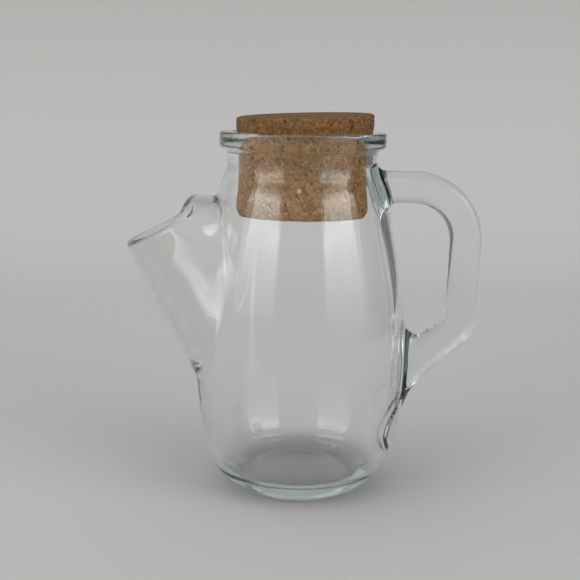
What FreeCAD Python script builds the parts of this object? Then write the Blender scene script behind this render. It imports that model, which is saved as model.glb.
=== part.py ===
import FreeCAD, Part
from FreeCAD import Vector as V
import math
import os

# Glass pitcher with a side spout, a D-shaped handle and a cork stopper.
# Millimetres. Origin at the centre of the base on the resting plane, +Z up
# along the body's axis, spout towards -X, handle towards +X.

# ---------------------------------------------------------------- dimensions
RIM_Z = 181.8            # top of the rim
RIM_R = 41.4             # outer radius of the rim bead
RIM_FACE = (175.6, 180.7)  # the bead's upright face, from and to
RIM_TOP_FLAT = (35.6, 40.3)  # the bead's flat top, inner and outer radius
NECK_R = 37.4            # outer radius of the neck
NECK_Z = (167.5, 171.2)  # the neck's straight part

# base: a shallow hollow inside a resting ring
RING_IN, RING_OUT = 24.5, 28.0
PUNT = 0.5

# outside of the wall, (height, radius): the large rounded heel, the barrel and
# the shoulder, one smooth curve from the resting ring to the neck
HEEL = [(2.1, 33.2), (5.2, 37.8), (9.8, 42.2), (15.0, 45.4)]
BARREL = [(22.0, 47.7), (34.0, 50.0), (50.0, 52.1), (71.0, 53.1), (90.0, 52.7),
          (108.0, 51.0), (124.0, 48.4), (138.0, 45.4), (148.0, 43.2),
          (155.0, 41.2), (161.0, 38.8)]

# inside
FLOOR_Z = 11.5
FLOOR_R = 36.0           # flat part of the floor
BORE_R = 32.2            # neck bore
BORE_Z = (166.0, 170.5)
INSIDE = [(12.9, 39.6), (17.0, 42.1), (24.5, 43.7), (36.0, 45.7), (52.0, 47.8),
          (72.0, 48.7), (90.0, 48.2), (107.0, 46.5), (122.0, 43.9),
          (136.0, 40.5), (147.0, 37.3), (155.0, 34.7), (160.5, 32.8)]

# spout: a leaning round tube, its front line straight from the body to the tip
SPOUT_FOOT = (-55.9, 63.3)   # a point of the front line (x, z)
SPOUT_LEAN = 27.5            # degrees from upright
SPOUT_R_LOW, SPOUT_R_HIGH = 37.4, 30.9
SPOUT_TAPER = (26.0, 59.0)   # along the front line, from the foot point
SPOUT_WALL = 5.2
TIP_X = -88.2                # where the front line ends
MOUTH_RISE = 36.6            # degrees, the cut across the mouth
ROOF_Z = 149.5               # top of the closed part beside the neck
ROOF_R = 58.0                # its arch, seen along X
ROOF_CORNER = 5.0
ROOF_WALL = 4.6
LIP_ROUND = 1.7              # rounding of both edges of the mouth
MOUTH_BOW, MOUTH_BOW_AT = 3.4, 24.0  # how far the mouth's sides dip, and where

# handle: one bar, its centre line in the XZ plane
BAR_THICK, BAR_DEPTH, BAR_CORNER = 15.9, 13.0, 4.2
HANDLE_TOP_Z = 155.3
ROOT_ROUND = 2.0         # rounding where the upper end of the bar meets the shoulder
HANDLE_START_X = 33.5
TOP_BEND_X, TOP_BEND_R = 56.0, 26.3
GRIP_LOW = (81.3, 85.0)      # corner of the centre line under the grip
LOW_BEND_R = 10.0
LOW_END = (43.0, 51.2)
WEB = [(46.0, 83.5), (53.3, 81.4), (61.3, 79.2), (68.5, 84.0), (70.0, 72.0),
       (56.0, 50.0), (52.0, 44.5), (46.0, 44.0)]

# pad pressed on the wall under the handle
PAD_Z, PAD_HALF_W, PAD_HALF_H, PAD_PROUD = 35.5, 27.0, 15.2, 1.1

# cork
CORK_Z = 141.0
CORK_TOP_Z = 189.9
CORK_RINGS = [(141.0, 32.5, 0), (145.0, 32.48, 0), (150.0, 32.35, 0), (158.0, 31.95, 0),
              (165.0, 31.9, 0), (169.5, 31.95, 0), (172.5, 32.05, 0.08),
              (176.6, 32.4, 0.3), (179.2, 32.9, 0.5), (181.4, 33.5, 0.72),
              (183.2, 33.9, 0.86), (185.5, 34.1, 0.94), (188.0, 34.1, 0.94),
              (191.0, 34.1, 0.94), (196.0, 34.1, 0.94)]
CORK_TILT_X, CORK_TILT_Y = 2.0, 0.9   # slope of the cut top, degrees
CORK_EDGE = 1.8


# ---------------------------------------------------------------- helpers
def smooth(t):
    t = max(0.0, min(1.0, t))
    return t * t * (3.0 - 2.0 * t)


def spline(points, start=None, end=None, step=3.0):
    """Points along the cubic curve through the given (r, z) points. start and
    end are unit directions there, or None where the curve ends unbent."""
    n = len(points)
    t = [0.0]
    for i in range(1, n):
        t.append(t[-1] + math.dist(points[i - 1], points[i]))
    h = [t[i + 1] - t[i] for i in range(n - 1)]
    bend = []
    for k in (0, 1):
        y = [p[k] for p in points]
        lo, di, up, rhs = [0.0] * n, [1.0] * n, [0.0] * n, [0.0] * n
        for i in range(1, n - 1):
            lo[i], di[i], up[i] = h[i - 1], 2 * (h[i - 1] + h[i]), h[i]
            rhs[i] = 6 * ((y[i + 1] - y[i]) / h[i] - (y[i] - y[i - 1]) / h[i - 1])
        if start:
            di[0], up[0] = 2 * h[0], h[0]
            rhs[0] = 6 * ((y[1] - y[0]) / h[0] - start[k])
        if end:
            lo[-1], di[-1] = h[-1], 2 * h[-1]
            rhs[-1] = 6 * (end[k] - (y[-1] - y[-2]) / h[-1])
        for i in range(1, n):
            f = lo[i] / di[i - 1]
            di[i] -= f * up[i - 1]
            rhs[i] -= f * rhs[i - 1]
        m = [0.0] * n
        m[-1] = rhs[-1] / di[-1]
        for i in range(n - 2, -1, -1):
            m[i] = (rhs[i] - up[i] * m[i + 1]) / di[i]
        bend.append((y, m))
    out = []
    for i in range(n - 1):
        count = max(1, round(h[i] / step))
        for j in range(count):
            a, b = 1 - j / count, j / count
            out.append(tuple(
                a * y[i] + b * y[i + 1]
                + ((a ** 3 - a) * m[i] + (b ** 3 - b) * m[i + 1]) * h[i] ** 2 / 6
                for y, m in bend))
    return out + [tuple(points[-1])]


def curve(points):
    c = Part.BSplineCurve()
    c.interpolate([V(0, r, z) for r, z in points])
    return c.toShape()


def line(a, b):
    return Part.makeLine(V(0, *a), V(0, *b))


def arc(a, m, b):
    return Part.Arc(V(0, *a), V(0, *m), V(0, *b)).toShape()


def turn(edges):
    face = Part.Face(Part.Wire(edges))
    return face.revolve(V(0, 0, 0), V(0, 0, 1), 360)


def one(shape):
    shape = shape.removeSplitter()
    solids = shape.Solids
    if len(solids) != 1:
        raise ValueError("expected one solid, got %d" % len(solids))
    return solids[0]


def outline(proud=0.0):
    """Outside of the wall, from the resting ring up to the neck."""
    pts = [(RING_OUT, 0.0)] + [(r, z) for z, r in HEEL + BARREL] + [(NECK_R, NECK_Z[0])]
    return [(r + proud, z) for r, z in spline(pts, (1.0, 0.0), (0.0, 1.0))]


# ---------------------------------------------------------------- body
def body_outside():
    dish = arc((0.0, PUNT), (RING_IN * 0.52, PUNT * 0.72), (RING_IN, 0.0))
    edges = [
        dish,
        line((RING_IN, 0.0), (RING_OUT, 0.0)),
        curve(outline()),
        line((NECK_R, NECK_Z[0]), (NECK_R, NECK_Z[1])),
        arc((NECK_R, NECK_Z[1]), (37.95, 172.6), (39.3, 173.3)),
        arc((39.3, 173.3), (40.8, 174.1), (RIM_R, RIM_FACE[0])),
        line((RIM_R, RIM_FACE[0]), (RIM_R, RIM_FACE[1])),
        arc((RIM_R, RIM_FACE[1]), (41.08, 181.48), (RIM_TOP_FLAT[1], RIM_Z)),
        line((RIM_TOP_FLAT[1], RIM_Z), (0.0, RIM_Z)),
        line((0.0, RIM_Z), (0.0, PUNT)),
    ]
    return turn(edges)


def body_inside():
    side = [(FLOOR_R, FLOOR_Z)] + [(r, z) for z, r in INSIDE] + [(BORE_R, BORE_Z[0])]
    top = RIM_Z + 8.0
    edges = [
        line((0.0, FLOOR_Z), (FLOOR_R, FLOOR_Z)),
        curve(spline(side, (1.0, 0.0), (0.0, 1.0))),
        line((BORE_R, BORE_Z[0]), (BORE_R, BORE_Z[1])),
        arc((BORE_R, BORE_Z[1]), (33.0, 176.4), (34.8, 180.9)),
        arc((34.8, 180.9), (35.15, 181.55), (RIM_TOP_FLAT[0], RIM_Z)),
        line((RIM_TOP_FLAT[0], RIM_Z), (RIM_TOP_FLAT[0], top)),
        line((RIM_TOP_FLAT[0], top), (0.0, top)),
        line((0.0, top), (0.0, FLOOR_Z)),
    ]
    return turn(edges)


# ---------------------------------------------------------------- spout
LEAN = math.radians(SPOUT_LEAN)
ALONG = V(-math.sin(LEAN), 0, math.cos(LEAN))   # up the front line
BACK = V(math.cos(LEAN), 0, math.sin(LEAN))     # from the front line inwards


def tube_radius(s):
    a, b = SPOUT_TAPER
    return SPOUT_R_LOW + (SPOUT_R_HIGH - SPOUT_R_LOW) * smooth((s - a) / (b - a))


def tube(wall, start, stop, steps=9):
    wires = []
    for i in range(steps):
        s = start + (stop - start) * i / (steps - 1)
        rho = tube_radius(s)
        front = V(SPOUT_FOOT[0], 0, SPOUT_FOOT[1]) + ALONG * s
        wires.append(Part.Wire(Part.makeCircle(rho - wall, front + BACK * rho, ALONG)))
    return Part.makeLoft(wires, True, False)


def roof(drop, corner):
    """What lies under the arched roof, as a long solid along X."""
    half = SPOUT_R_HIGH + 3.0 - drop
    n = 12
    pts = []
    for i in range(n + 1):
        y = -half + 2 * half * i / n
        z = ROOF_Z - drop - (ROOF_R - drop - math.sqrt((ROOF_R - drop) ** 2 - y * y))
        # the sides fall away in a rounded corner
        out = max(0.0, abs(y) - (half - corner))
        z -= corner - math.sqrt(max(corner * corner - out * out, 0.0))
        pts.append(V(-130.0, y, z))
    top = Part.BSplineCurve()
    top.interpolate(pts)
    a, b = pts[0], pts[-1]
    low_a, low_b = V(-130, -60, a.z - 14.0), V(-130, 60, b.z - 14.0)
    deep_a, deep_b = V(-130, -60, 20), V(-130, 60, 20)
    w = Part.Wire([top.toShape(), Part.makeLine(b, low_b), Part.makeLine(low_b, deep_b),
                   Part.makeLine(deep_b, deep_a), Part.makeLine(deep_a, low_a),
                   Part.makeLine(low_a, a)])
    return Part.Face(w).extrude(V(130.0, 0, 0))


RISE = math.radians(MOUTH_RISE)
MOUTH_TIP = (V(SPOUT_FOOT[0], 0, SPOUT_FOOT[1])
             + ALONG * ((SPOUT_FOOT[0] - TIP_X) / math.sin(LEAN)))
MOUTH_RIGHT = V(math.cos(RISE), 0, math.sin(RISE))
MOUTH_UP = V(-math.sin(RISE), 0, math.cos(RISE))
MOUTH_BOW_R = (MOUTH_BOW_AT ** 2 + MOUTH_BOW ** 2) / (2 * MOUTH_BOW)


def mouth_cut():
    """The space past the slanted cut across the mouth, a shallow trough
    upside down, so that the sides of the mouth dip below its two ends."""
    a = MOUTH_TIP - MOUTH_RIGHT * 40 - MOUTH_UP * 30
    b = MOUTH_TIP + MOUTH_RIGHT * 60 - MOUTH_UP * 30
    w = Part.makePolygon([a, b, b + MOUTH_UP * 90, a + MOUTH_UP * 90, a])
    f = Part.Face(w)
    f.translate(V(0, -60, 0))
    block = f.extrude(V(0, 120, 0))
    start = MOUTH_TIP - MOUTH_RIGHT * 50 - MOUTH_UP * MOUTH_BOW_R
    trough = Part.makeCylinder(MOUTH_BOW_R, 120.0, start, MOUTH_RIGHT)
    return block.cut(trough)


# ---------------------------------------------------------------- handle
def bar_section(at, direction):
    """Rounded-corner section of the bar, square to its path."""
    n = V(direction.z, 0, -direction.x)
    w, d, c = BAR_THICK / 2, BAR_DEPTH / 2, BAR_CORNER
    corners = [(w, d), (-w, d), (-w, -d), (w, -d)]
    edges, last, first = [], None, None
    k = math.sqrt(0.5)
    for i, (u, v) in enumerate(corners):
        su, sv = (1 if u > 0 else -1), (1 if v > 0 else -1)
        cu, cv = u - su * c, v - sv * c
        p = (u, cv) if i % 2 == 0 else (cu, v)
        q = (cu, v) if i % 2 == 0 else (u, cv)
        m = (cu + su * c * k, cv + sv * c * k)
        P, Q, M = [at + n * a + V(0, b, 0) for a, b in (p, q, m)]
        if last is None:
            first = P
        else:
            edges.append(Part.makeLine(last, P))
        edges.append(Part.Arc(P, M, Q).toShape())
        last = Q
    edges.append(Part.makeLine(last, first))
    return Part.Wire(edges)


def handle():
    a = V(HANDLE_START_X, 0, HANDLE_TOP_Z)
    b = V(TOP_BEND_X, 0, HANDLE_TOP_Z)
    centre = V(TOP_BEND_X, 0, HANDLE_TOP_Z - TOP_BEND_R)
    low = V(GRIP_LOW[0], 0, GRIP_LOW[1])
    # the grip leans in a little, so the bend stops where it touches that line
    grip = low - centre
    reach = math.hypot(grip.x, grip.z)
    ang = math.atan2(grip.z, grip.x) + math.acos(TOP_BEND_R / reach)
    c = centre + V(math.cos(ang), 0, math.sin(ang)) * TOP_BEND_R
    mid = (math.pi / 2 + ang) / 2
    m = centre + V(math.cos(mid), 0, math.sin(mid)) * TOP_BEND_R
    end = V(LOW_END[0], 0, LOW_END[1])
    d1 = (low - c).normalize()
    d2 = (end - low).normalize()
    bend = math.acos(max(-1, min(1, d1.dot(d2))))
    t = LOW_BEND_R * math.tan(bend / 2)
    p, q = low - d1 * t, low + d2 * t
    inward = (d2 - d1).normalize()
    o = low + inward * (LOW_BEND_R / math.cos(bend / 2))
    mm = o - inward * LOW_BEND_R
    path = Part.Wire([Part.makeLine(a, b), Part.Arc(b, m, c).toShape(),
                      Part.makeLine(c, p), Part.Arc(p, mm, q).toShape(),
                      Part.makeLine(q, end)])
    bar = path.makePipeShell([bar_section(a, V(1, 0, 0))], True, False, 2)
    return bar


def web():
    """The swelling where the bar runs down into the wall."""
    pts = [V(x, 0, z) for x, z in WEB]
    w = Part.Wire([Part.makeLine(pts[i], pts[(i + 1) % len(pts)]) for i in range(len(pts))])
    f = Part.Face(w)
    d = BAR_DEPTH / 2
    f.translate(V(0, -d, 0))
    solid = f.extrude(V(0, 2 * d, 0))
    side = [e for e in solid.Edges
            if abs(abs(e.CenterOfMass.y) - d) < 1e-6 and e.CenterOfMass.x > 47]
    return solid.makeFillet(BAR_CORNER * 0.8, side)


def pad():
    low, high = PAD_Z - PAD_HALF_H - 6, PAD_Z + PAD_HALF_H + 6
    skin = [p for p in outline(PAD_PROUD) if low < p[1] < high]
    core = [(r - 2.0, z) for r, z in skin]
    edges = [curve(skin), line(skin[-1], core[-1]), curve(core[::-1]), line(core[0], skin[0])]
    shell = turn(edges)
    e = Part.Ellipse(V(0, 0, 0), PAD_HALF_W, PAD_HALF_H).toShape()
    w = Part.Wire(e)
    w.rotate(V(0, 0, 0), V(1, 0, 0), 90)
    w.rotate(V(0, 0, 0), V(0, 0, 1), 90)
    w.translate(V(20, 0, PAD_Z))
    plug = Part.Face(w).extrude(V(50, 0, 0))
    return shell.common(plug)


# ---------------------------------------------------------------- pieces
# ---------------------------------------------------------------- rounding
def points(edge):
    if edge.Degenerated:
        return []
    a, b = edge.ParameterRange
    return [edge.valueAt(a + (b - a) * i / 6.0) for i in range(7)]


def on_mouth(edge):
    """The mouth's outer and inner edges, both on the slanted trough."""
    ps = points(edge)
    return bool(ps) and all(
        abs(math.hypot((p - MOUTH_TIP).dot(MOUTH_UP) + MOUTH_BOW_R, p.y) - MOUTH_BOW_R) < 2e-3
        and (p - MOUTH_TIP).dot(MOUTH_UP) > -12 for p in ps)


def handle_root(edge):
    """The ring of edges where the bar's upper end meets the shoulder."""
    ps = points(edge)
    return bool(ps) and all(
        34 < p.x < 48 and abs(p.y) < 8.5 and 138 < p.z < 168 for p in ps)


def rounded(shape, wanted, radius):
    edges = [e for e in shape.Edges if wanted(e)]
    return one(shape.makeFillet(radius, edges))


# ---------------------------------------------------------------- the two pieces
def glass_pitcher():
    """The wall first, then what is joined to its outside, each trimmed inside
    the wall's thickness so that nothing reaches into the hollow."""
    hollow = body_inside()
    wall = body_outside().cut(hollow)
    shoulder = Part.makeCone(41.4, 34.0, 30.0, V(0, 0, 140))
    barrel = Part.makeCylinder(50.0, 60.0, V(0, 0, 38))
    bar = handle().cut(shoulder).cut(barrel)
    foot = web().cut(barrel)
    under, over = -13.0, 112.0
    spout = tube(0.0, under, over).common(roof(0.0, ROOF_CORNER))
    channel = tube(SPOUT_WALL, under, over).common(roof(ROOF_WALL, ROOF_CORNER - 2.5))
    spout = spout.cut(hollow).cut(channel).cut(mouth_cut())
    wall = wall.cut(channel)
    glass = one(wall.fuse([spout, bar, foot, pad()]))
    glass = rounded(glass, on_mouth, LIP_ROUND)
    return rounded(glass, handle_root, ROOT_ROUND)


def cork_stopper():
    """Round stations up the cork, (height, radius, sideways shift)."""
    rings = [Part.Wire(Part.makeCircle(r, V(dx, 0, z), V(0, 0, 1))) for z, r, dx in CORK_RINGS]
    cork = one(Part.makeLoft(rings, True, False))
    foot = [e for e in cork.Edges if e.BoundBox.ZMax < CORK_Z + 0.01]
    cork = one(cork.makeFillet(CORK_EDGE, foot))
    knife = Part.makeBox(120, 120, 30, V(-60, -60, 0))
    knife.rotate(V(0, 0, 0), V(0, 1, 0), -CORK_TILT_X)
    knife.rotate(V(0, 0, 0), V(1, 0, 0), -CORK_TILT_Y)
    knife.translate(V(0, 0, CORK_TOP_Z))
    cork = one(cork.cut(knife))
    rim = [e for e in cork.Edges if e.BoundBox.ZMin > CORK_TOP_Z - 3
           and e.BoundBox.ZMax < CORK_TOP_Z + 3 and e.Length > 50]
    return one(cork.makeFillet(CORK_EDGE, rim))


os.makedirs("parts", exist_ok=True)
NODES = {"glass_pitcher": glass_pitcher, "cork_stopper": cork_stopper}
for name, make in NODES.items():
    shape = make()
    shape.exportStep("parts/%s.step" % name)
    b = shape.BoundBox
    print(name, "valid", shape.isValid(), "solids", len(shape.Solids),
          "volume cm3 %.1f" % (shape.Volume / 1000),
          "box %.2f %.2f %.2f to %.2f %.2f %.2f" % (b.XMin, b.YMin, b.ZMin, b.XMax, b.YMax, b.ZMax))
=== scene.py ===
import math
import bpy
import numpy as np
from mathutils import Matrix, Vector


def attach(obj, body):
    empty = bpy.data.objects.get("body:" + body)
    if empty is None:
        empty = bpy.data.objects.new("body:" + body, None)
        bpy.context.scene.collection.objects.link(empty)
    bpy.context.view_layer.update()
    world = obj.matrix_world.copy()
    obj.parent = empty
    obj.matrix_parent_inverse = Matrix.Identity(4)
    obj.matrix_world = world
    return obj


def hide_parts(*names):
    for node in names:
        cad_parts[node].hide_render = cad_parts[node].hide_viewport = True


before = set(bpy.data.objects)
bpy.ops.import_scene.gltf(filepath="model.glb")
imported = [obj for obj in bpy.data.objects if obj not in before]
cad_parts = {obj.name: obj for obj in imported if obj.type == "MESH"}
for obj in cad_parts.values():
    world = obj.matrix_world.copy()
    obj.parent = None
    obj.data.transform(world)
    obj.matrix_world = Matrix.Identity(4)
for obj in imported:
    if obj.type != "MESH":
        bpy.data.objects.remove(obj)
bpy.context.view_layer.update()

# ============================================================ dimensions (mm)
RIM_Z, RIM_R = 181.8, 41.4
RIM_FACE = (175.6, 180.7)
RIM_TOP_FLAT = (35.6, 40.3)
NECK_R, NECK_Z = 37.4, (167.5, 171.2)
RING_IN, RING_OUT, PUNT = 24.5, 28.0, 0.5
HEEL = [(2.1, 33.2), (5.2, 37.8), (9.8, 42.2), (15.0, 45.4)]
BARREL = [(22.0, 47.7), (34.0, 50.0), (50.0, 52.1), (71.0, 53.1), (90.0, 52.7),
          (108.0, 51.0), (124.0, 48.4), (138.0, 45.4), (148.0, 43.2),
          (155.0, 41.2), (161.0, 38.8)]
FLOOR_Z, FLOOR_R = 11.5, 36.0
BORE_R, BORE_Z = 32.2, (166.0, 170.5)
INSIDE = [(12.9, 39.6), (17.0, 42.1), (24.5, 43.7), (36.0, 45.7), (52.0, 47.8),
          (72.0, 48.7), (90.0, 48.2), (107.0, 46.5), (122.0, 43.9),
          (136.0, 40.5), (147.0, 37.3), (155.0, 34.7), (160.5, 32.8)]
SPOUT_FOOT, SPOUT_LEAN = (-55.9, 63.3), math.radians(27.5)
SPOUT_R_LOW, SPOUT_R_HIGH, SPOUT_TAPER = 37.4, 30.9, (26.0, 59.0)
SPOUT_WALL, TIP_X, MOUTH_RISE = 5.2, -88.2, math.radians(36.6)
ROOF_Z, ROOF_R, ROOF_WALL = 149.5, 58.0, 4.6
MOUTH_BOW, MOUTH_BOW_AT = 3.4, 24.0
MOUTH_LIP = 1.3
BAR_THICK, BAR_DEPTH, BAR_CORNER = 15.9, 13.0, 4.2
HANDLE_TOP_Z, HANDLE_START_X = 155.3, 33.5
TOP_BEND_X, TOP_BEND_R = 56.0, 26.3
GRIP_LOW, LOW_BEND_R, LOW_END = (81.3, 85.0), 10.0, (43.0, 51.2)
WEB = [(46.0, 83.5), (53.3, 81.4), (61.3, 79.2), (68.5, 84.0), (70.0, 72.0),
       (56.0, 50.0), (52.0, 44.5), (46.0, 44.0)]
PAD_Z, PAD_HALF_W, PAD_HALF_H, PAD_PROUD = 35.5, 27.0, 15.2, 1.1
CORK_Z, CORK_TOP_Z = 141.0, 189.9
CORK_SHIFT_Z = (169.5, 172.5, 176.6, 179.2, 181.4, 183.2, 185.5)
CORK_SHIFT = (0.0, 0.08, 0.30, 0.50, 0.72, 0.86, 0.94)
CORK_TILT_X, CORK_TILT_Y = math.radians(2.0), math.radians(0.9)

MM = 0.001


# ============================================================ curves
def spline(points, start, end, step):
    """Points along the cubic curve through (r, z) points, with end directions."""
    p = np.array(points, float)
    n = len(p)
    h = np.hypot(*np.diff(p, axis=0).T)
    a = np.zeros((n, n))
    b = np.zeros((n, 2))
    for i in range(1, n - 1):
        a[i, i - 1], a[i, i], a[i, i + 1] = h[i - 1], 2 * (h[i - 1] + h[i]), h[i]
        b[i] = 6 * ((p[i + 1] - p[i]) / h[i] - (p[i] - p[i - 1]) / h[i - 1])
    a[0, 0], a[0, 1] = 2 * h[0], h[0]
    b[0] = 6 * ((p[1] - p[0]) / h[0] - np.array(start))
    a[-1, -2], a[-1, -1] = h[-1], 2 * h[-1]
    b[-1] = 6 * (np.array(end) - (p[-1] - p[-2]) / h[-1])
    m = np.linalg.solve(a, b)
    out = []
    for i in range(n - 1):
        for t in np.arange(0, 1, min(1.0, step / h[i])):
            s = 1 - t
            out.append(s * p[i] + t * p[i + 1]
                       + ((s ** 3 - s) * m[i] + (t ** 3 - t) * m[i + 1]) * h[i] ** 2 / 6)
    out.append(p[-1])
    return [tuple(q) for q in out]


def arc3(a, m, b, count=14):
    """Points on the circle through a, m and b, from a to b."""
    (ax, ay), (bx, by), (cx, cy) = a, m, b
    d = 2 * (ax * (by - cy) + bx * (cy - ay) + cx * (ay - by))
    ux = ((ax * ax + ay * ay) * (by - cy) + (bx * bx + by * by) * (cy - ay)
          + (cx * cx + cy * cy) * (ay - by)) / d
    uy = ((ax * ax + ay * ay) * (cx - bx) + (bx * bx + by * by) * (ax - cx)
          + (cx * cx + cy * cy) * (bx - ax)) / d
    r = math.hypot(ax - ux, ay - uy)
    t0, t1, t2 = (math.atan2(y - uy, x - ux) for x, y in (a, m, b))
    wrap = lambda t: (t + math.pi) % (2 * math.pi) - math.pi
    sweep = wrap(t1 - t0) + wrap(t2 - t1)
    return [(ux + r * math.cos(t0 + sweep * i / count), uy + r * math.sin(t0 + sweep * i / count))
            for i in range(count + 1)]


def outer_profile():
    pts = [(0.0, -0.0 + PUNT)]
    pts = arc3((0.0, PUNT), (RING_IN * 0.52, PUNT * 0.72), (RING_IN, 0.0), 24)
    pts += [(RING_OUT, 0.0)]
    pts += spline([(RING_OUT, 0.0)] + [(r, z) for z, r in HEEL + BARREL] + [(NECK_R, NECK_Z[0])],
                  (1.0, 0.0), (0.0, 1.0), 0.35)[1:]
    pts += arc3((NECK_R, NECK_Z[1]), (37.95, 172.6), (39.3, 173.3))
    pts += arc3((39.3, 173.3), (40.8, 174.1), (RIM_R, RIM_FACE[0]))[1:]
    pts += arc3((RIM_R, RIM_FACE[1]), (41.08, 181.48), (RIM_TOP_FLAT[1], RIM_Z))
    pts += [(0.0, RIM_Z), (-6.0, RIM_Z), (-6.0, PUNT)]
    return np.array(pts)


def inner_profile():
    top = RIM_Z + 12.0
    pts = [(-6.0, FLOOR_Z), (0.0, FLOOR_Z)]
    pts += spline([(FLOOR_R, FLOOR_Z)] + [(r, z) for z, r in INSIDE] + [(BORE_R, BORE_Z[0])],
                  (1.0, 0.0), (0.0, 1.0), 0.35)
    pts += arc3((BORE_R, BORE_Z[1]), (33.0, 176.4), (34.8, 180.9))
    pts += arc3((34.8, 180.9), (35.15, 181.55), (RIM_TOP_FLAT[0], RIM_Z))[1:]
    pts += [(RIM_TOP_FLAT[0], top), (-6.0, top)]
    return np.array(pts)


# ============================================================ distance tables
def polygon_distance(px, pz, poly):
    """Signed distance in the plane, negative inside the closed polygon."""
    best = np.full(px.shape, 1e9)
    inside = np.zeros(px.shape, bool)
    n = len(poly)
    for i in range(n):
        ax, az = poly[i]
        bx, bz = poly[(i + 1) % n]
        ex, ez = bx - ax, bz - az
        ll = ex * ex + ez * ez
        if ll < 1e-12:
            continue
        wx, wz = px - ax, pz - az
        t = np.clip((wx * ex + wz * ez) / ll, 0, 1)
        d = (wx - t * ex) ** 2 + (wz - t * ez) ** 2
        np.minimum(best, d, out=best)
        cross = (az > pz) != (bz > pz)
        if az != bz:
            inside ^= cross & (px < (bx - ax) * (pz - az) / (bz - az) + ax)
    return np.where(inside, -1, 1) * np.sqrt(best)


class Table:
    """A signed distance in the (r, z) half plane, read with a cubic filter."""

    def __init__(self, poly, r1, z0, z1, step=0.5):
        self.step, self.z0, self.r0 = step, z0, -2.0
        r = np.arange(self.r0, r1, step)
        z = np.arange(z0, z1, step)
        g = np.meshgrid(r, z, indexing="ij")
        # exact distance at every point of the table
        self.t = polygon_distance(g[0].ravel(), g[1].ravel(), poly).reshape(g[0].shape)
        self.n = self.t.shape

    def __call__(self, r, z):
        fr = np.clip((r - self.r0) / self.step, 1.0, self.n[0] - 3.001)
        fz = np.clip((z - self.z0) / self.step, 1.0, self.n[1] - 3.001)
        i, j = fr.astype(np.int64), fz.astype(np.int64)
        u, v = fr - i, fz - j

        def w(t):
            return ((-0.5 * t ** 3 + t ** 2 - 0.5 * t), (1.5 * t ** 3 - 2.5 * t ** 2 + 1),
                    (-1.5 * t ** 3 + 2 * t ** 2 + 0.5 * t), (0.5 * t ** 3 - 0.5 * t ** 2))

        wu, wv = w(u), w(v)
        flat = self.t.ravel()
        out = 0.0
        for a in range(4):
            row = (i + a - 1) * self.n[1] + j
            out = out + wu[a] * (wv[0] * flat[row - 1] + wv[1] * flat[row]
                                 + wv[2] * flat[row + 1] + wv[3] * flat[row + 2])
        return out


def smin(a, b, k):
    h = np.maximum(k - np.abs(a - b), 0.0) / k
    return np.minimum(a, b) - h * h * k * 0.25


def smax(a, b, k):
    return -smin(-a, -b, k)


def ease(t):
    t = np.clip(t, 0.0, 1.0)
    return t * t * (3 - 2 * t)


# ============================================================ handle path
def handle_path():
    """Lines and arcs of the bar's centre line in the (x, z) plane."""
    a = np.array([HANDLE_START_X - 12, HANDLE_TOP_Z])
    b = np.array([TOP_BEND_X, HANDLE_TOP_Z])
    centre = np.array([TOP_BEND_X, HANDLE_TOP_Z - TOP_BEND_R])
    low = np.array(GRIP_LOW)
    grip = low - centre
    ang = math.atan2(grip[1], grip[0]) + math.acos(TOP_BEND_R / np.hypot(*grip))
    c = centre + TOP_BEND_R * np.array([math.cos(ang), math.sin(ang)])
    end = np.array(LOW_END)
    d1 = (low - c) / np.hypot(*(low - c))
    d2 = (end - low) / np.hypot(*(end - low))
    bend = math.acos(float(d1 @ d2))
    t = LOW_BEND_R * math.tan(bend / 2)
    p, q = low - d1 * t, low + d2 * t
    inward = (d2 - d1) / np.hypot(*(d2 - d1))
    o = low + inward * (LOW_BEND_R / math.cos(bend / 2))
    return a, b, centre, c, p, q, o, end


PATH = handle_path()


def segment(x, z, a, b):
    e = b - a
    t = np.clip(((x - a[0]) * e[0] + (z - a[1]) * e[1]) / (e @ e), 0, 1)
    return np.hypot(x - a[0] - t * e[0], z - a[1] - t * e[1])


def bend_arc(x, z, centre, radius, start, stop):
    """Distance to an arc that runs clockwise from start to stop."""
    u, w = x - centre[0], z - centre[1]
    t0 = math.atan2(start[1] - centre[1], start[0] - centre[0])
    t1 = math.atan2(stop[1] - centre[1], stop[0] - centre[0])
    span = (t0 - t1) % (2 * math.pi)
    t = (t0 - np.arctan2(w, u)) % (2 * math.pi)
    on = np.abs(np.hypot(u, w) - radius)
    off = np.minimum(np.hypot(x - start[0], z - start[1]), np.hypot(x - stop[0], z - stop[1]))
    return np.where(t <= span, on, off)


def bar_distance(x, y, z):
    a, b, centre, c, p, q, o, end = PATH
    d = segment(x, z, a, b)
    d = np.minimum(d, bend_arc(x, z, centre, TOP_BEND_R, b, c))
    d = np.minimum(d, segment(x, z, c, p))
    d = np.minimum(d, bend_arc(x, z, o, LOW_BEND_R, p, q))
    d = np.minimum(d, segment(x, z, q, end))
    return rounded_box(d - BAR_THICK / 2, np.abs(y) - BAR_DEPTH / 2, BAR_CORNER)


def rounded_box(u, v, c):
    u, v = u + c, v + c
    return np.hypot(np.maximum(u, 0), np.maximum(v, 0)) + np.minimum(np.maximum(u, v), 0) - c


# ============================================================ the glass, as one distance
SL, CL = math.sin(SPOUT_LEAN), math.cos(SPOUT_LEAN)
S_TIP = (SPOUT_FOOT[0] - TIP_X) / SL
TIP = (SPOUT_FOOT[0] - SL * S_TIP, SPOUT_FOOT[1] + CL * S_TIP)


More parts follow.
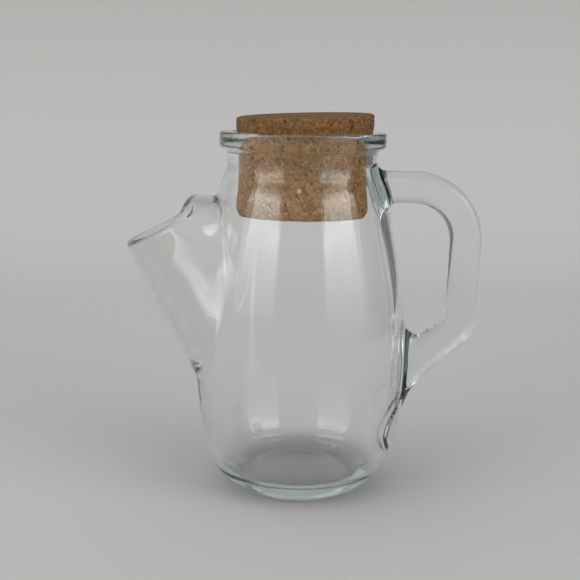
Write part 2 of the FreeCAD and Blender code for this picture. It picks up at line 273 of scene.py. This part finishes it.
class Glass:
    def __init__(self):
        self.out = Table(outer_profile(), 100.0, -8.0, 196.0)
        self.hollow = Table(inner_profile(), 100.0, -8.0, 210.0)
        self.web = np.array(WEB)

    def __call__(self, x, y, z):
        r = np.hypot(x, y)
        out = self.out(r, z)
        hollow = self.hollow(r, z)
        # spout: a leaning round tube under an arched roof
        s = (x - SPOUT_FOOT[0]) * -SL + (z - SPOUT_FOOT[1]) * CL
        back = (x - SPOUT_FOOT[0]) * CL + (z - SPOUT_FOOT[1]) * SL
        rho = SPOUT_R_LOW + (SPOUT_R_HIGH - SPOUT_R_LOW) * ease(
            (s - SPOUT_TAPER[0]) / (SPOUT_TAPER[1] - SPOUT_TAPER[0]))
        ring = np.hypot(back - rho, y)
        lift = MOUTH_LIP * ease((-49.5 - x) / 8.0)
        arch = np.hypot(y, z - lift - (ROOF_Z - ROOF_R))
        tube = smax(ring - rho, arch - ROOF_R, 5.5)
        tube = np.maximum(tube, -(s + 13.0))
        mouth = ((x - TIP[0]) * -math.sin(MOUTH_RISE) + (z - TIP[1]) * math.cos(MOUTH_RISE)
                 + MOUTH_BOW * np.minimum(y / MOUTH_BOW_AT, 1.6) ** 2)
        tube = smax(tube, mouth, 1.9)
        tube = np.maximum(tube, x)
        channel = smax(ring - rho + SPOUT_WALL, arch - ROOF_R + ROOF_WALL, 5.0)
        channel = np.maximum(channel, -(s + 13.0))
        channel = np.maximum(channel, x)
        # handle, the web under it and the pad behind it
        bar = bar_distance(x, y, z)
        near = (x > 30) & (np.abs(y) < 20) & (z > 30) & (z < 100)
        web = np.full(x.shape, 50.0)
        if near.any():
            d = polygon_distance(x[near], z[near], self.web)
            web[near] = rounded_box(d, np.abs(y[near]) - BAR_DEPTH / 2, BAR_CORNER)
            bar = smin(bar, web, 2.5)
        edge = (np.sqrt((y / PAD_HALF_W) ** 2 + ((z - PAD_Z) / PAD_HALF_H) ** 2 + 1e-9) - 1) * PAD_HALF_H * 0.9
        pad = smax(out - PAD_PROUD, edge, 1.6)
        pad = np.maximum(pad, 8.0 - x)
        solid = smin(out, pad, 0.8)
        blend = np.where(z > 110, 4.6, 7.0)
        bar = np.maximum(bar, 20.0 - x)
        solid = smin(solid, bar, blend)
        seam = 1.7
        solid = smin(solid, tube, seam)
        hollow = smin(hollow, channel, 6.0)
        lip = np.where(z > 158, 0.5, 3.0)
        return smax(solid, -hollow, lip)


def lattice():
    """Cell edges: fine where the profile turns quickly."""
    def run(stops):
        out = [stops[0][0]]
        for (a, _), (b, step) in zip(stops, stops[1:]):
            n = max(1, round((b - a) / step))
            out += [a + (b - a) * (i + 1) / n for i in range(n)]
        return np.array(out)
    x = run([(-91.0, 0), (92.5, 1.34)])
    y = run([(-55.2, 0), (55.2, 1.34)])
    z = run([(-1.6, 0), (18.0, 0.95), (28.0, 1.3), (122.0, 1.7), (152.0, 1.25),
             (166.0, 1.15), (184.0, 0.72)])
    return x, y, z


def surface_nets(f, x, y, z):
    nx, ny, nz = len(x), len(y), len(z)
    val = np.empty((nx, ny, nz))
    for i0 in range(0, nx, 12):
        i1 = min(nx, i0 + 12)
        gx, gy, gz = np.meshgrid(x[i0:i1], y, z, indexing="ij")
        val[i0:i1] = f(gx, gy, gz)
    inside = val < 0
    total = np.zeros((nx - 1, ny - 1, nz - 1), np.int8)
    for a in (0, 1):
        for b in (0, 1):
            for c in (0, 1):
                total += inside[a:nx - 1 + a, b:ny - 1 + b, c:nz - 1 + c]
    cells = (total > 0) & (total < 8)
    ci, cj, ck = np.nonzero(cells)
    index = np.full(cells.shape, -1, np.int64)
    index[ci, cj, ck] = np.arange(len(ci))
    acc = np.zeros((len(ci), 3))
    cnt = np.zeros(len(ci))
    axes = (x, y, z)
    corners = [(a, b, c) for a in (0, 1) for b in (0, 1) for c in (0, 1)]
    for p in corners:
        for ax in range(3):
            if p[ax]:
                continue
            q = list(p)
            q[ax] = 1
            va = val[ci + p[0], cj + p[1], ck + p[2]]
            vb = val[ci + q[0], cj + q[1], ck + q[2]]
            hit = (va < 0) != (vb < 0)
            t = np.where(hit, va / np.where(hit, va - vb, 1.0), 0.0)
            pa = np.stack([axes[k][(ci, cj, ck)[k] + p[k]] for k in range(3)], 1)
            pb = np.stack([axes[k][(ci, cj, ck)[k] + q[k]] for k in range(3)], 1)
            acc += np.where(hit[:, None], pa + (pb - pa) * t[:, None], 0.0)
            cnt += hit
    verts = acc / cnt[:, None]
    faces = []
    for ax in range(3):
        s0 = [slice(None)] * 3
        s1 = [slice(None)] * 3
        s0[ax], s1[ax] = slice(0, -1), slice(1, None)
        cross = inside[tuple(s0)] != inside[tuple(s1)]
        i, j, k = np.nonzero(cross)
        o1, o2 = [(1, 2), (2, 0), (0, 1)][ax]
        lim = [i, j, k]
        ok = (lim[o1] > 0) & (lim[o2] > 0)
        i, j, k = i[ok], j[ok], k[ok]
        base = np.stack([i, j, k], 1)
        d1 = np.zeros(3, int); d1[o1] = 1
        d2 = np.zeros(3, int); d2[o2] = 1
        quad = [base - d1 - d2, base - d2, base, base - d1]
        ids = np.stack([index[tuple(q.T)] for q in quad], 1)
        flip = ~inside[i, j, k]
        ids[flip] = ids[flip][:, ::-1]
        faces.append(ids)
    return verts, np.concatenate(faces)


def gradient(f, v, h=0.3):
    g = np.empty_like(v)
    for k in range(3):
        a, b = v.copy(), v.copy()
        a[:, k] += h
        b[:, k] -= h
        g[:, k] = (f(*a.T) - f(*b.T)) / (2 * h)
    return g


def settle(f, v, faces, rounds=3):
    """Evens out the mesh along the surface and puts each point on it."""
    n = len(v)
    e = np.concatenate([faces[:, [0, 1]], faces[:, [1, 2]], faces[:, [2, 3]], faces[:, [3, 0]]])
    deg = np.bincount(e.ravel(), minlength=n).astype(float)
    for it in range(rounds + 1):
        if it:
            acc = np.stack([np.bincount(e[:, 0], v[e[:, 1], k], n)
                            + np.bincount(e[:, 1], v[e[:, 0], k], n) for k in range(3)], 1)
            v = v + 0.5 * (acc / deg[:, None] - v)
        for _ in range(2):
            g = gradient(f, v)
            d = f(*v.T)
            step = g * (d / np.maximum((g * g).sum(1), 0.2))[:, None]
            long = np.linalg.norm(step, axis=1)
            step *= np.minimum(1.0, 0.8 / np.maximum(long, 1e-9))[:, None]
            v = v - step
    return v


def add_mesh(name, verts_mm, faces, normals=None):
    me = bpy.data.meshes.new(name)
    v = np.asarray(verts_mm, float) * MM
    f = np.asarray(faces)
    k = f.shape[1]
    me.vertices.add(len(v))
    me.vertices.foreach_set("co", v.ravel())
    me.loops.add(f.size)
    me.loops.foreach_set("vertex_index", f.ravel())
    me.polygons.add(len(f))
    me.polygons.foreach_set("loop_start", np.arange(0, f.size, k))
    me.polygons.foreach_set("loop_total", np.full(len(f), k))
    me.update(calc_edges=True)
    me.validate()
    me.shade_smooth()
    if normals is not None and len(normals) == len(me.vertices):
        me.normals_split_custom_set_from_vertices([tuple(n) for n in normals])
    o = bpy.data.objects.new(name, me)
    bpy.context.scene.collection.objects.link(o)
    return o


glass_distance = Glass()
gv, gf = surface_nets(glass_distance, *lattice())
gv = settle(glass_distance, gv, gf)
gn = gradient(glass_distance, gv, 0.25)
gn /= np.linalg.norm(gn, axis=1)[:, None]
print("glass mesh:", len(gv), "points,", 2 * len(gf), "triangles")
pitcher = add_mesh("pitcher_glass", gv, gf, gn)
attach(pitcher, "root")
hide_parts("glass_pitcher")


# ============================================================ cork
def cork_points():
    """Side profile of the cork, upwards, with its pressed edges."""
    side = [(31.5, CORK_Z + 0.9), (32.3, 143.5), (32.35, 150.0), (31.95, 158.0), (31.9, 165.0),
            (31.95, 169.5), (32.05, 172.5), (32.4, 176.6), (32.9, 179.2), (33.5, 181.4),
            (33.9, 183.2), (34.1, 185.5), (34.08, 190.5)]
    return spline(side, (0.45, 0.9), (0.0, 1.0), 0.8)


def hash01(p, seed):
    n = (p[:, 0] * 374761393 + p[:, 1] * 668265263 + p[:, 2] * 2147483647 + seed * 1274126177) & 0xffffffff
    n = ((n ^ (n >> 13)) * 1274126177) & 0xffffffff
    return ((n ^ (n >> 16)) & 0xffff) / 65535.0


def lumps(p, cell, seed):
    """Distance to the nearest and the next nearest granule centre, in cells, and a number for the nearest."""
    q = p / cell
    base = np.floor(q).astype(np.int64)
    best = np.full(len(p), 9.0)
    second = np.full(len(p), 9.0)
    who = np.zeros(len(p))
    for dx in (-1, 0, 1):
        for dy in (-1, 0, 1):
            for dz in (-1, 0, 1):
                c = base + np.array([dx, dy, dz])
                o = np.stack([hash01(c, seed + k) for k in (1, 2, 3)], 1)
                d = np.linalg.norm(c + o - q, axis=1)
                closer = d < best
                second = np.where(closer, best, np.minimum(second, d))
                who = np.where(closer, hash01(c, seed + 7), who)
                best = np.where(closer, d, best)
    return best, second, who


def make_cork():
    prof = cork_points()
    seg = 240
    ang = np.linspace(0, 2 * np.pi, seg, endpoint=False)
    rows = []
    # the cut: z = top at the axis, sloping
    def cut(x, y):
        return CORK_TOP_Z + np.tan(CORK_TILT_X) * x + np.tan(CORK_TILT_Y) * y * 1.0
    for r, z in prof:
        rows.append((r, z))
    verts, faces = [], []
    z_lo = CORK_Z
    # bottom disc rings
    bottom = [0.0] + list(np.linspace(2.0, 30.6, 16))
    ring_rows = [(r, z_lo) for r in bottom] + rows
    edge_r = 34.05
    top_rings = [33.65, 33.1, 32.6] + list(np.linspace(32.0, 0.0, 27))
    for r, z in ring_rows:
        verts.append(np.stack([r * np.cos(ang), r * np.sin(ang), np.full(seg, float(z))], 1))
    # side rows are pressed down so that they never pass the cut's rounded edge
    side_first = len(bottom)
    edge = 1.5
    for k in range(side_first, len(verts)):
        v = verts[k]
        limit = cut(v[:, 0], v[:, 1]) - edge
        t = (rows[k - side_first][1] - 184.0) / (rows[-1][1] - 184.0)
        if t > 0:
            v[:, 2] = 184.0 + t * (limit - 184.0)
    for r, drop in [(edge_r, edge * 0.62), (33.8, edge * 0.3), (33.25, edge * 0.08)] + [(q, 0.0) for q in top_rings[2:]]:
        x, y = r * np.cos(ang), r * np.sin(ang)
        verts.append(np.stack([x, y, cut(x, y) - drop], 1))
    n = len(verts)
    verts = np.concatenate(verts)
    # above the neck the cork bulges a little to one side
    verts[:, 0] += np.interp(verts[:, 2], CORK_SHIFT_Z, CORK_SHIFT)
    # faces between neighbouring rows of points
    for k in range(n - 1):
        for i in range(seg):
            j = (i + 1) % seg
            faces.append((k * seg + i, k * seg + j, (k + 1) * seg + j, (k + 1) * seg + i))
    return verts, np.array(faces), n, seg


cv, cf, c_rows, c_seg = make_cork()
centre = np.array([0, 0, 165.0])
# outward direction of each point: sideways on the wall, up or down on the ends
radial = cv.copy()
radial[:, 2] = 0
rr = np.linalg.norm(radial, axis=1)
flat_top = cv[:, 2] > 187.0
out_dir = np.where((rr > 31.0)[:, None] & ~(flat_top & (rr < 32.0))[:, None],
                   radial / np.maximum(rr, 1e-6)[:, None], 0.0)
out_dir[(cv[:, 2] <= CORK_Z + 0.01)] = (0, 0, -1)
out_dir[(flat_top & (rr < 32.0))] = (0, 0, 1)
b1, b2, who = lumps(cv, 2.2, 11)
pit = np.clip((0.16 - (b2 - b1)) / 0.16, 0, 1) * 0.16
c1, c2, who2 = lumps(cv, 5.5, 57)
pit += np.where(who2 > 0.78, np.clip((0.40 - c1) / 0.40, 0, 1) * 0.45, 0.0)
pit += (who - 0.5) * 0.10
cv = cv - out_dir * np.clip(pit, 0.0, 0.8)[:, None]
cork = add_mesh("cork", cv, cf)
bm_me = cork.data
import bmesh
bm = bmesh.new()
bm.from_mesh(bm_me)
bmesh.ops.remove_doubles(bm, verts=bm.verts, dist=1e-6)
bmesh.ops.recalc_face_normals(bm, faces=bm.faces)
bm.to_mesh(bm_me)
bm.free()
bm_me.shade_smooth()
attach(cork, "root")
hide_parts("cork_stopper")


# ============================================================ materials
def material(name):
    m = bpy.data.materials.new(name)
    m.use_nodes = True
    nt = m.node_tree
    nt.nodes.clear()
    out = nt.nodes.new("ShaderNodeOutputMaterial")
    return m, nt, out


def node(nt, kind, **values):
    n = nt.nodes.new(kind)
    for k, v in values.items():
        if k in n.inputs:
            n.inputs[k].default_value = v
        else:
            setattr(n, k, v)
    return n


def glass_material():
    m, nt, out = material("clear_glass")
    p = node(nt, "ShaderNodeBsdfPrincipled")
    p.inputs["Base Color"].default_value = (1, 1, 1, 1)
    p.inputs["Transmission Weight"].default_value = 1.0
    p.inputs["IOR"].default_value = 1.5
    co = node(nt, "ShaderNodeTexCoord")
    slow = node(nt, "ShaderNodeTexNoise", Scale=38.0, Detail=1.0, Roughness=0.4)
    nt.links.new(co.outputs["Object"], slow.inputs["Vector"])
    bump = node(nt, "ShaderNodeBump", Strength=0.12, Distance=0.0006)
    nt.links.new(slow.outputs["Fac"], bump.inputs["Height"])
    nt.links.new(bump.outputs["Normal"], p.inputs["Normal"])
    rough = node(nt, "ShaderNodeTexNoise", Scale=160.0, Detail=2.0)
    nt.links.new(co.outputs["Object"], rough.inputs["Vector"])
    ramp = node(nt, "ShaderNodeMapRange")
    ramp.inputs["From Min"].default_value = 0.35
    ramp.inputs["From Max"].default_value = 0.75
    ramp.inputs["To Min"].default_value = 0.0
    ramp.inputs["To Max"].default_value = 0.03
    nt.links.new(rough.outputs["Fac"], ramp.inputs["Value"])
    nt.links.new(ramp.outputs["Result"], p.inputs["Roughness"])
    nt.links.new(p.outputs["BSDF"], out.inputs["Surface"])
    vol = node(nt, "ShaderNodeVolumeAbsorption")
    vol.inputs["Color"].default_value = (0.47, 0.69, 0.62, 1)
    vol.inputs["Density"].default_value = 7.5
    nt.links.new(vol.outputs["Volume"], out.inputs["Volume"])
    return m


def cork_material():
    """Pressed cork: soft granules of several browns, dark bark flecks, fine pores."""
    m, nt, out = material("pressed_cork")
    L = nt.links.new
    co = node(nt, "ShaderNodeTexCoord")
    p = node(nt, "ShaderNodeBsdfPrincipled")
    p.inputs["Roughness"].default_value = 0.88
    p.inputs["Specular IOR Level"].default_value = 0.25

    def mix(a, b, factor, blend="MIX"):
        n = node(nt, "ShaderNodeMix")
        n.data_type, n.blend_type = "RGBA", blend
        for socket, v in (("A", a), ("B", b), ("Factor", factor)):
            if isinstance(v, (tuple, float)):
                n.inputs[socket].default_value = v
            else:
                L(v, n.inputs[socket])
        return n.outputs["Result"]

    def remap(value, a, b, c=0.0, d=1.0, kind="SMOOTHSTEP"):
        n = node(nt, "ShaderNodeMapRange")
        n.interpolation_type = kind
        for socket, v in (("From Min", a), ("From Max", b), ("To Min", c), ("To Max", d)):
            n.inputs[socket].default_value = v
        L(value, n.inputs["Value"])
        return n.outputs["Result"]

    def math2(a, b, op="MULTIPLY"):
        n = node(nt, "ShaderNodeMath")
        n.operation = op
        for i, v in enumerate((a, b)):
            if isinstance(v, float):
                n.inputs[i].default_value = v
            else:
                L(v, n.inputs[i])
        return n.outputs[0]

    # coordinates bent by noise, so that no granule has a ruled edge
    wob = node(nt, "ShaderNodeTexNoise", Scale=520.0, Detail=2.0)
    L(co.outputs["Object"], wob.inputs["Vector"])
    off = node(nt, "ShaderNodeVectorMath")
    off.operation = "MULTIPLY_ADD"
    off.inputs[1].default_value = (0.0034,) * 3
    L(wob.outputs["Color"], off.inputs[0])
    L(co.outputs["Object"], off.inputs[2])
    at = off.outputs["Vector"]

    def cells(scale, shift, feature="F1"):
        mv = node(nt, "ShaderNodeVectorMath")
        mv.operation = "ADD"
        mv.inputs[1].default_value = (shift, shift * 1.7, shift * 0.6)
        L(at, mv.inputs[0])
        v = node(nt, "ShaderNodeTexVoronoi", Scale=scale)
        v.feature = feature
        L(mv.outputs["Vector"], v.inputs["Vector"])
        return v

    grain = cells(700.0, 0.0)
    sep = node(nt, "ShaderNodeSeparateColor")
    L(grain.outputs["Color"], sep.inputs["Color"])
    hue = node(nt, "ShaderNodeValToRGB")
    r = hue.color_ramp
    r.elements[0].position, r.elements[0].color = 0.0, (0.135, 0.066, 0.024, 1)
    r.elements[1].position, r.elements[1].color = 1.0, (0.400, 0.240, 0.110, 1)
    for pos, col in ((0.25, (0.215, 0.118, 0.046, 1)), (0.55, (0.285, 0.165, 0.068, 1)),
                     (0.80, (0.330, 0.195, 0.088, 1))):
        r.elements.new(pos).color = col
    L(sep.outputs["Red"], hue.inputs["Fac"])
    # softened by a second, coarser drift of tone
    drift = node(nt, "ShaderNodeTexNoise", Scale=130.0, Detail=3.0)
    L(co.outputs["Object"], drift.inputs["Vector"])
    base = mix(hue.outputs["Color"], (0.270, 0.160, 0.070, 1), 0.15)
    base = mix(base, (0.330, 0.150, 0.055, 1), remap(drift.outputs["Fac"], 0.52, 0.72, 0.0, 0.45))
    base = mix(base, (0.300, 0.205, 0.100, 1), remap(drift.outputs["Fac"], 0.48, 0.30, 0.0, 0.45))
    seam = cells(700.0, 0.0, "DISTANCE_TO_EDGE")
    edge = remap(seam.outputs["Distance"], 0.0, 0.16, 0.82, 1.0)
    base = mix(base, edge, 1.0, "MULTIPLY")
    # dark bark flecks of two sizes
    for scale, shift, share, size in ((300.0, 0.31, 0.66, 0.34), (620.0, 0.77, 0.76, 0.36),
                                      (1100.0, 0.53, 0.76, 0.38)):
        c = cells(scale, shift)
        sc = node(nt, "ShaderNodeSeparateColor")
        L(c.outputs["Color"], sc.inputs["Color"])
        pick = remap(sc.outputs["Green"], share, share + 0.02)
        core = remap(c.outputs["Distance"], size, size - 0.12)
        base = mix(base, (0.040, 0.019, 0.010, 1), math2(math2(pick, core), 0.80))
    # painted light: the cork inside the neck is painted much paler, standing in for the light that reaches it
    # through the glass, and the part above the rim is painted darker
    spot = node(nt, "ShaderNodeSeparateXYZ")
    L(co.outputs["Object"], spot.inputs["Vector"])
    rim_painted_light_mask = remap(spot.outputs["Z"], 0.176, 0.1835)
    base = mix(base, mix((1.82, 1.66, 1.15, 1), (0.86, 0.78, 0.69, 1), rim_painted_light_mask), 1.0, "MULTIPLY")
    # painted glint: one small pale spot at the front of the cork, facing the camera
    painted_glint_distance = node(nt, "ShaderNodeVectorMath")
    painted_glint_distance.operation = "DISTANCE"
    painted_glint_distance.inputs[1].default_value = (-0.0013, -0.0322, 0.1549)
    L(co.outputs["Object"], painted_glint_distance.inputs[0])
    base = mix(base, (0.88, 0.66, 0.33, 1), remap(painted_glint_distance.outputs["Value"], 0.0013, 0.0008))
    L(base, p.inputs["Base Color"])
    fine = node(nt, "ShaderNodeTexNoise", Scale=1400.0, Detail=3.0)
    L(co.outputs["Object"], fine.inputs["Vector"])
    bump = node(nt, "ShaderNodeBump", Strength=0.45, Distance=0.0003)
    L(fine.outputs["Fac"], bump.inputs["Height"])
    bump2 = node(nt, "ShaderNodeBump", Strength=0.5, Distance=0.0004)
    L(edge, bump2.inputs["Height"])
    L(bump.outputs["Normal"], bump2.inputs["Normal"])
    L(bump2.outputs["Normal"], p.inputs["Normal"])
    L(p.outputs["BSDF"], out.inputs["Surface"])
    return m


pitcher.data.materials.append(glass_material())
cork.data.materials.append(cork_material())


# ============================================================ stage
def sheet_material():
    """Plain pale paper, its colour painted darker up the backdrop: painted shade against the windows' direct
    light on it.
    """
    m, nt, out = material("sheet_paper")
    p = node(nt, "ShaderNodeBsdfPrincipled")
    p.inputs["Roughness"].default_value = 0.92
    p.inputs["Specular IOR Level"].default_value = 0.2
    co = node(nt, "ShaderNodeTexCoord")
    sep = node(nt, "ShaderNodeSeparateXYZ")
    nt.links.new(co.outputs["Object"], sep.inputs["Vector"])
    # painted shade: the paper's colour darkens from the floor up the backdrop
    up = node(nt, "ShaderNodeMapRange")
    up.inputs["From Min"].default_value = 0.0
    up.inputs["From Max"].default_value = 0.55
    nt.links.new(sep.outputs["Z"], up.inputs["Value"])
    tone = node(nt, "ShaderNodeMix")
    tone.data_type = "RGBA"
    tone.inputs["A"].default_value = (0.660, 0.650, 0.635, 1)
    tone.inputs["B"].default_value = (0.432, 0.425, 0.411, 1)
    nt.links.new(up.outputs["Result"], tone.inputs["Factor"])
    nt.links.new(tone.outputs["Result"], p.inputs["Base Color"])
    weave = node(nt, "ShaderNodeTexNoise", Scale=900.0, Detail=2.0)
    nt.links.new(co.outputs["Object"], weave.inputs["Vector"])
    bump = node(nt, "ShaderNodeBump", Strength=0.25, Distance=0.0005)
    nt.links.new(weave.outputs["Fac"], bump.inputs["Height"])
    nt.links.new(bump.outputs["Normal"], p.inputs["Normal"])
    nt.links.new(p.outputs["BSDF"], out.inputs["Surface"])
    return m


def sweep_sheet():
    """Floor that curves up into a backdrop."""
    me = bpy.data.meshes.new("sheet")
    pts = [(y, 0.0) for y in np.linspace(-2.6, 0.5, 12)]
    pts += [(0.5 + 0.55 * math.sin(t), 0.55 - 0.55 * math.cos(t)) for t in np.linspace(0.08, math.pi / 2, 20)]
    pts += [(1.05, z) for z in np.linspace(0.65, 1.3, 4)]
    verts, faces = [], []
    for y, z in pts:
        verts += [(-1.6, y, z), (0.50, y, z)]
    for i in range(len(pts) - 1):
        faces.append((2 * i, 2 * i + 1, 2 * i + 3, 2 * i + 2))
    me.from_pydata(verts, [], faces)
    me.shade_smooth()
    o = bpy.data.objects.new("sheet", me)
    bpy.context.scene.collection.objects.link(o)
    o.data.materials.append(sheet_material())
    return o


sweep_sheet()


def window(name, azimuth, low, high, width, distance, radiance, tint=(1, 1, 1)):
    """A tall soft light on the camera's side, brightest above its middle, fading at both ends."""
    d = bpy.data.lights.new(name, "AREA")
    d.shape = "RECTANGLE"
    a = math.radians(azimuth)
    mid = (low + high) / 2
    d.size, d.size_y = width, high - low
    d.energy = radiance * math.pi * width * (high - low)
    d.color = tint
    d.use_nodes = True
    nt = d.node_tree
    emit = next(n for n in nt.nodes if n.type == "EMISSION")
    geo = nt.nodes.new("ShaderNodeNewGeometry")
    sep = nt.nodes.new("ShaderNodeSeparateXYZ")
    ramp = nt.nodes.new("ShaderNodeValToRGB")
    e = ramp.color_ramp.elements
    e[0].position, e[0].color = 0.05, (0, 0, 0, 1)
    e[1].position, e[1].color = 1.0, (0, 0, 0, 1)
    for at, v in ((0.21, 0.15), (0.34, 0.285), (0.45, 0.43), (0.60, 0.88), (0.68, 1.0),
                  (0.79, 0.42), (0.90, 0.05)):
        e.new(at).color = (v, v, v, 1)
    nt.links.new(geo.outputs["Parametric"], sep.inputs["Vector"])
    nt.links.new(sep.outputs["Y"], ramp.inputs["Fac"])
    nt.links.new(ramp.outputs["Color"], emit.inputs["Strength"])
    o = bpy.data.objects.new(name, d)
    o.location = (math.sin(a) * distance, -math.cos(a) * distance, mid)
    aim = Vector((0, 0, mid)) - o.location
    o.rotation_euler = aim.to_track_quat("-Z", "Y").to_euler()
    bpy.context.scene.collection.objects.link(o)
    return o


window("window_left", -53, -0.35, 2.0, 2.15, 2.4, 3.7)
window("window_right", 53, -0.35, 2.0, 2.15, 2.4, 3.9)
top = bpy.data.lights.new("overhead", "AREA")
top.shape = "RECTANGLE"
top.size = top.size_y = 3.4
top.energy = 15.0
top_o = bpy.data.objects.new("overhead", top)
top_o.location = (0, 0.3, 2.6)
bpy.context.scene.collection.objects.link(top_o)

def room():
    """Even light all round, with the unlit side of the room behind on the right."""
    world = bpy.data.worlds.new("studio")
    world.use_nodes = True
    nt = world.node_tree
    bg = nt.nodes["Background"]
    co = nt.nodes.new("ShaderNodeTexCoord")
    sep = nt.nodes.new("ShaderNodeSeparateXYZ")
    nt.links.new(co.outputs["Generated"], sep.inputs["Vector"])

    def step(socket, lo, hi):
        n = nt.nodes.new("ShaderNodeMapRange")
        n.interpolation_type = "SMOOTHSTEP"
        n.inputs["From Min"].default_value, n.inputs["From Max"].default_value = lo, hi
        nt.links.new(sep.outputs[socket], n.inputs["Value"])
        return n.outputs["Result"]

    def mul(a, b):
        n = nt.nodes.new("ShaderNodeMath")
        n.operation = "MULTIPLY"
        for i, v in enumerate((a, b)):
            if isinstance(v, float):
                n.inputs[i].default_value = v
            else:
                nt.links.new(v, n.inputs[i])
        return n.outputs[0]

    dark_side = mul(step("X", 0.18, 0.42), step("Y", -0.30, 0.05))
    keep = nt.nodes.new("ShaderNodeMapRange")
    keep.inputs["To Min"].default_value, keep.inputs["To Max"].default_value = 1.0, ROOM_DARK
    nt.links.new(dark_side, keep.inputs["Value"])
    above = nt.nodes.new("ShaderNodeMapRange")
    above.inputs["To Min"].default_value, above.inputs["To Max"].default_value = 1.0, ROOM_ABOVE
    nt.links.new(mul(step("Y", 0.10, 0.35), step("Z", 0.50, 0.70)), above.inputs["Value"])
    nt.links.new(mul(mul(keep.outputs["Result"], above.outputs["Result"]), ROOM_LIGHT),
                 bg.inputs["Strength"])
    bg.inputs["Color"].default_value = (0.98, 0.99, 1.0, 1)
    bpy.context.scene.world = world


ROOM_LIGHT, ROOM_DARK, ROOM_ABOVE = 0.50, 0.28, 0.45
room()
bpy.context.scene.cycles.max_bounces = 22
bpy.context.scene.cycles.transmission_bounces = 22
bpy.context.scene.cycles.glossy_bounces = 20

# ============================================================ camera
cam = bpy.data.cameras.new("camera")
cam.sensor_fit = "HORIZONTAL"
cam.sensor_width = 36.0
cam.lens = 65.25
cam.clip_start = 0.02
pitch, yaw, roll = math.radians(11.06), math.radians(-0.587), math.radians(0.827)
fw = Vector((math.sin(yaw) * math.cos(pitch), math.cos(yaw) * math.cos(pitch), -math.sin(pitch)))
right = Vector((math.cos(yaw), -math.sin(yaw), 0))
up = right.cross(fw)
R = right * math.cos(roll) + up * math.sin(roll)
U = -right * math.sin(roll) + up * math.cos(roll)
co = bpy.data.objects.new("camera", cam)
co.matrix_world = Matrix(((R.x, U.x, -fw.x, 0.0), (R.y, U.y, -fw.y, -0.5256),
                          (R.z, U.z, -fw.z, 0.20464), (0, 0, 0, 1)))
bpy.context.scene.collection.objects.link(co)
bpy.context.scene.camera = co
bpy.context.scene.view_settings.view_transform = "Standard"
